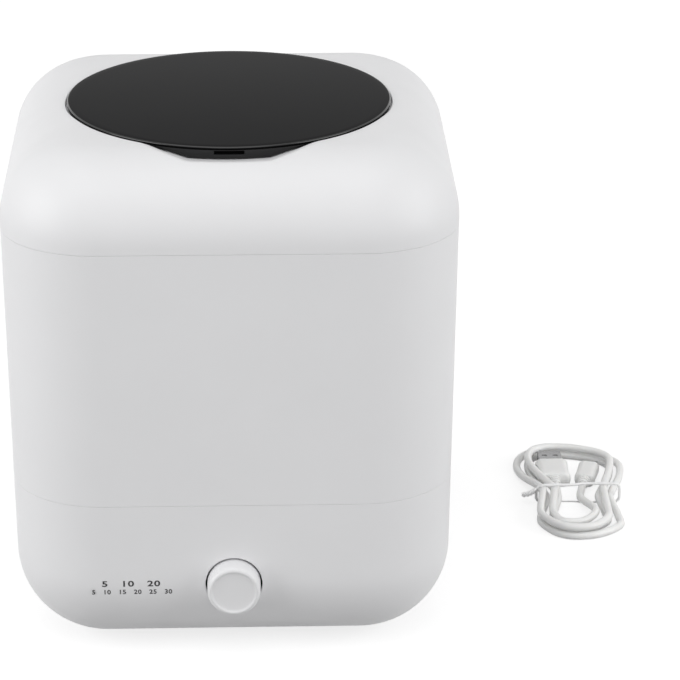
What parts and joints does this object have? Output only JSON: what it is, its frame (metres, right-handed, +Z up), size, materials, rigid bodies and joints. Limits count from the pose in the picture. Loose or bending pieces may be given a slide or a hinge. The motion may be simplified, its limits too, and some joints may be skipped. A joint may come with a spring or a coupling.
{
  "type": "portable washing machine",
  "caption": "Small square washing machine with rounded corners, a round lift-off lid over a tub with a curved-vane pulsator, a geared motor, a front knob and a tied power lead.",
  "frame": {"origin": "on the floor under the middle of the machine's box, without its power lead", "axes": "+Z is up, -Y is the front with the knob, and the power lead lies on the +X side"},
  "size_m": [0.297, 0.2328, 0.2336],
  "materials": {
    "shell": "satin white moulded plastic",
    "lid_black": "high gloss black",
    "seal_rubber": "matte",
    "foot_rubber": "matte",
    "tub_plastic": "satin",
    "pulsator_plastic": "satin",
    "knob_plastic": "satin",
    "screw_steel": "zinc plated",
    "shaft_steel": "ground",
    "bush_bronze": "sintered",
    "gear_plastic": "matte",
    "pinion_brass": "machined",
    "grey_plastic": "matte",
    "motor_steel": "zinc plated",
    "black_plastic": "matte",
    "button_plastic": "matte",
    "board_green": "solder mask",
    "plug_steel": "nickel plated",
    "cord_white": "satin",
    "tie_white": "satin",
    "plug_white": "satin"
  },
  "bodies": {
    "machine": {"top_cover": "shell", "middle_housing": "shell", "base_housing": "shell", "rubber_feet": "foot_rubber", "base_screws": "screw_steel", "cover_screws": "screw_steel", "wash_tub": "tub_plastic", "tub_seal": "seal_rubber", "shaft_seal": "seal_rubber", "upper_bush": "bush_bronze", "lower_bush": "bush_bronze", "gear_plate": "grey_plastic", "gear_cover": "grey_plastic", "gear_cover_screws": "screw_steel", "plate_screws": "screw_steel", "motor_can": "motor_steel", "motor_cap": "black_plastic", "motor_terminals": "pinion_brass", "motor_screws": "screw_steel", "encoder_body": "black_plastic", "control_board": "board_green", "board_parts": "black_plastic", "board_screws": "screw_steel", "power_socket": "plug_steel", "socket_tongue": "black_plastic", "socket_board": "board_green", "cord_hank": "cord_white", "cord_tie": "tie_white", "flat_plug_grip": "plug_white", "flat_plug_shell": "plug_steel", "flat_plug_insert": "plug_white", "micro_plug_grip": "plug_white", "micro_plug_shell": "plug_steel"},
    "lid": {"lid_panel": "lid_black", "lid_frame": "lid_black", "lid_gasket": "seal_rubber"},
    "pulsator": {"pulsator": "pulsator_plastic", "pulsator_screw": "screw_steel", "drive_shaft": "shaft_steel", "shaft_clip": "shaft_steel", "drive_gear": "gear_plastic"},
    "motor_rotor": {"motor_shaft": "shaft_steel", "motor_pinion": "pinion_brass"},
    "push_switch": {"switch_plunger": "button_plastic"},
    "knob": {"control_knob": "knob_plastic", "encoder_shaft": "shaft_steel"}
  },
  "joints": [
    {"name": "lid_lift", "type": "slide", "parent": "machine", "child": "lid", "axis": [0, 0, 1], "range_m": [0, 0.08]},
    {"name": "pulsator_spin", "type": "hinge", "parent": "machine", "child": "pulsator", "pos_m": [0, 0.00314, 0.0602], "axis": [0, 0, 1], "continuous": true},
    {"name": "motor_spin", "type": "hinge", "parent": "machine", "child": "motor_rotor", "pos_m": [0, 0.03315, 0.0602], "axis": [0, 0, 1], "continuous": true},
    {"name": "knob_push", "type": "slide", "parent": "machine", "child": "push_switch", "axis": [0, 1, 0], "range_m": [0, 0.0012], "stiffness_N_per_m": 800, "springref_m": -0.0004},
    {"name": "knob_turn", "type": "hinge", "parent": "push_switch", "child": "knob", "pos_m": [0, -0.10266, 0.0388], "axis": [0, 1, 0], "continuous": true}
  ],
  "couplings": [
    {"joint": "motor_spin", "follows": "pulsator_spin", "ratio": -3.2857}
  ]
}
